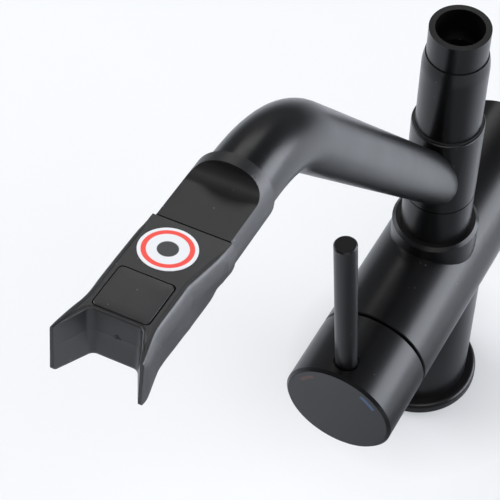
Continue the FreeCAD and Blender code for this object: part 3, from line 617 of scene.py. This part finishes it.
FINISHES = {
    "satin_black": skin("satin_black", (0.0035, 0.0035, 0.0038), 0.29, 2600.0, 0.000015, 0.008,
                        spread=0.015, refraction=1.36),
    "face_grey": skin("face_grey", (0.030, 0.031, 0.033), 0.42, 3200.0, 0.00002, refraction=1.40),
    "black_plastic": skin("black_plastic", (0.0125, 0.0125, 0.0130), 0.40, 4200.0, 0.00003, 0.05,
                          refraction=1.52),
    "red_mark": skin("red_mark", (0.075, 0.026, 0.022), 0.42, 3200.0, 0.00001),
    "blue_mark": skin("blue_mark", (0.045, 0.10, 0.21), 0.42, 3200.0, 0.00001),
    "label_white": printed_label(),
    "rubber": skin("rubber", (0.018, 0.018, 0.018), 0.70, 1500.0, 0.00005),
    "steel": machined("steel", (0.60, 0.60, 0.61), 0.32),
    "dark_steel": machined("dark_steel", (0.10, 0.10, 0.105), 0.38),
    "brass": machined("brass", (0.72, 0.52, 0.25), 0.30),
    "cartridge_plastic": skin("cartridge_plastic", (0.72, 0.72, 0.70), 0.42, 1800.0, 0.00002),
    "bush_plastic": skin("bush_plastic", (0.70, 0.68, 0.62), 0.38, 1800.0, 0.00002),
    "magnet": machined("magnet", (0.56, 0.56, 0.58), 0.24, 1800.0, 0.9),
}
BLASTED_BLACK = skin("blasted_black", (0.0095, 0.0095, 0.0100), 0.42, 3400.0, 0.00003, 0.05,
                     refraction=1.45)
SCUFFED_BLACK = skin("scuffed_black", (0.0125, 0.0125, 0.0130), 0.42, 4200.0, 0.00003, 0.06, spread=0.07,
                     refraction=1.52, cloud=260.0)
for part in frame["record"]["subparts"]:
    for material_slot in frame["nodes"][part["node"]].material_slots:
        material_slot.material = FINISHES[part["material_slot"]]
frame["nodes"]["end_fitting"].material_slots[0].material = BLASTED_BLACK


def dress(piece, material):
    """Gives a piece of the fork its material, and lets it ride on the arm."""
    piece.data.materials.append(material)
    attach(piece, "arm")


MOULDED = FINISHES["black_plastic"]
cover = magnet_cover()
dress(cover, SCUFFED_BLACK)
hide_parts("magnet_cover")
dress(fork_side("fork_right_side", 1), MOULDED)
dress(fork_side("fork_left_side", -1), MOULDED)
dress(throat_lining(), MOULDED)
dress(gate_mark(), MOULDED)


# Floor, light and camera

def floor():
    """Pale table top in the plane of the gasket's underside, seen through from below.

    What the tap mirrors of it has painted shade close in front of the column, and painted shade darkens it
    far behind.
    The camera sees it darker towards the back by painted shade, and sees part of it as a glowing tone with
    a painted shadow round the base, so that far shadows stay faint.
    """
    ends = np.array([-FLOOR_HALF, FLOOR_HALF])
    across, along = np.meshgrid(ends, ends, indexing="ij")
    piece = surface("table_top", np.stack([across, along, np.zeros_like(across)], -1))
    material, tree, shader, place = start_material("table_top")
    depth = place_node(tree, "ShaderNodeSeparateXYZ", {0: place}).outputs["Y"]
    # Painted shade: the camera sees the table darker towards the back
    pale = mixed(tree, remap(tree, depth, *FLOOR_BACK_FADE, 0.0, 1.0), FLOOR_FRONT, FLOOR_BACK_PAINTED_SHADE)
    # Painted shade far behind, for the camera and in what the tap mirrors
    painted_shade_behind = remap(tree, depth, *FLOOR_BEHIND_FADE, 0.0, 1.0)
    seen = mixed(tree, painted_shade_behind, pale, FLOOR_PAINTED_SHADE_BEHIND)
    # Painted shade in what the tap mirrors, darkest close in front of the column
    away = place_node(tree, "ShaderNodeVectorMath", {0: place, 1: FLOOR_SHADE_CENTRE},
                      operation="DISTANCE").outputs["Value"]
    open_floor = mixed(tree, painted_shade_behind, FLOOR_OPEN, FLOOR_PAINTED_SHADE_BEHIND)
    mirrored = mixed(tree, remap(tree, away, *FLOOR_SHADE_FADE, 0.0, 1.0), FLOOR_SHADE, open_floor)
    straight = place_node(tree, "ShaderNodeLightPath").outputs["Is Camera Ray"]
    tree.links.new(mixed(tree, straight, mirrored, seen), shader.inputs["Base Color"])
    shader.inputs["Roughness"].default_value = FLOOR_ROUGHNESS
    # Painted shadow round the base, in a glowing tone that takes a share of what the camera sees in front
    # and fills in its real shadows with painted light
    from_base = place_node(tree, "ShaderNodeVectorMath", {0: place}, operation="LENGTH").outputs["Value"]
    painted_base_shadow = mixed(tree, remap(tree, from_base, *FLOOR_PAINTED_SHADOW_FADE, 0.0, 1.0), FLOOR_PAINTED_SHADOW_AT_BASE, FLOOR_PAINTED_SHADOW_NEAR_BASE)
    glow_with_painted_shadow = mixed(tree, remap(tree, from_base, *FLOOR_AWAY_FADE, 0.0, 1.0), painted_base_shadow, FLOOR_AWAY)
    tone = place_node(tree, "ShaderNodeEmission", {"Color": glow_with_painted_shadow}).outputs[0]
    in_front = remap(tree, depth, *FLOOR_BEHIND_FADE, FLOOR_PAINTED_GLOW_SHARE, 0.0)
    share = arithmetic(tree, "MULTIPLY", straight, in_front)
    lit = place_node(tree, "ShaderNodeMixShader", {0: share, 1: shader.outputs[0], 2: tone})
    below = place_node(tree, "ShaderNodeNewGeometry").outputs["Backfacing"]
    clear = place_node(tree, "ShaderNodeBsdfTransparent").outputs[0]
    choice = place_node(tree, "ShaderNodeMixShader", {0: below, 1: lit.outputs[0], 2: clear})
    tree.links.new(choice.outputs[0], tree.nodes["Material Output"].inputs["Surface"])
    piece.data.materials.append(material)


def soft_box(name, azimuth, elevation, distance, width, height, radiance, tint=(1.0, 1.0, 1.0)):
    """Rectangular lamp that faces the tap, by its direction from +X towards +Y and its height."""
    turn, rise = radians(azimuth), radians(elevation)
    back = Vector((cos(turn) * cos(rise), sin(turn) * cos(rise), sin(rise)))
    lamp = bpy.data.lights.new(name, "AREA")
    lamp.shape = "RECTANGLE"
    lamp.size = width
    lamp.size_y = height
    lamp.energy = 4.0 * radiance * width * height
    lamp.color = tint
    thing = bpy.data.objects.new(name, lamp)
    thing.location = Vector(LIT_CENTRE) + back * distance
    thing.rotation_mode = "QUATERNION"
    thing.rotation_quaternion = (-back).to_track_quat("-Z", "Y")
    thing.visible_camera = False
    bpy.context.scene.collection.objects.link(thing)


def studio():
    """World that is pale at the horizon and dim above it."""
    world = bpy.data.worlds.new("studio")
    bpy.context.scene.world = world
    world.use_nodes = True
    tree = world.node_tree
    direction = place_node(tree, "ShaderNodeTexCoord").outputs["Generated"]
    height = place_node(tree, "ShaderNodeSeparateXYZ", {0: direction}).outputs["Z"]
    tone = mixed(tree, remap(tree, height, *WORLD_FADE, 0.0, 1.0), WORLD_LOW, WORLD_HIGH)
    background = tree.nodes["Background"]
    tree.links.new(tone, background.inputs["Color"])
    background.inputs["Strength"].default_value = 1.0


def camera():
    """Camera with the fitted place, turn and focal length."""
    lens = bpy.data.cameras.new("camera")
    lens.sensor_width = SENSOR
    lens.lens = SENSOR * FOCAL_PIXELS / FRAME_PIXELS
    lens.clip_start = 0.01
    lens.clip_end = 50.0
    thing = bpy.data.objects.new("camera", lens)
    axes = Matrix((CAMERA_RIGHT, CAMERA_UP, -Vector(CAMERA_FORWARD))).transposed()
    thing.matrix_world = Matrix.Translation(CAMERA_PLACE) @ axes.to_4x4()
    bpy.context.scene.collection.objects.link(thing)
    bpy.context.scene.camera = thing


floor()
studio()
soft_box("right_box", 30.0, 9.0, 1.7, 1.9, 1.0, 6.6, COOL)
soft_box("left_box", 178.0, 14.0, 1.7, 1.0, 0.9, 2.4, COOL)
soft_box("back_box", 114.0, 33.0, 2.0, 1.0, 0.5, 2.2)
soft_box("key_box", -178.0, 34.0, 2.0, 1.3, 1.0, 3.8)
soft_box("front_box", -52.0, 60.0, 2.0, 1.5, 1.5, 2.1)
camera()
bpy.context.scene.view_settings.view_transform = "Standard"
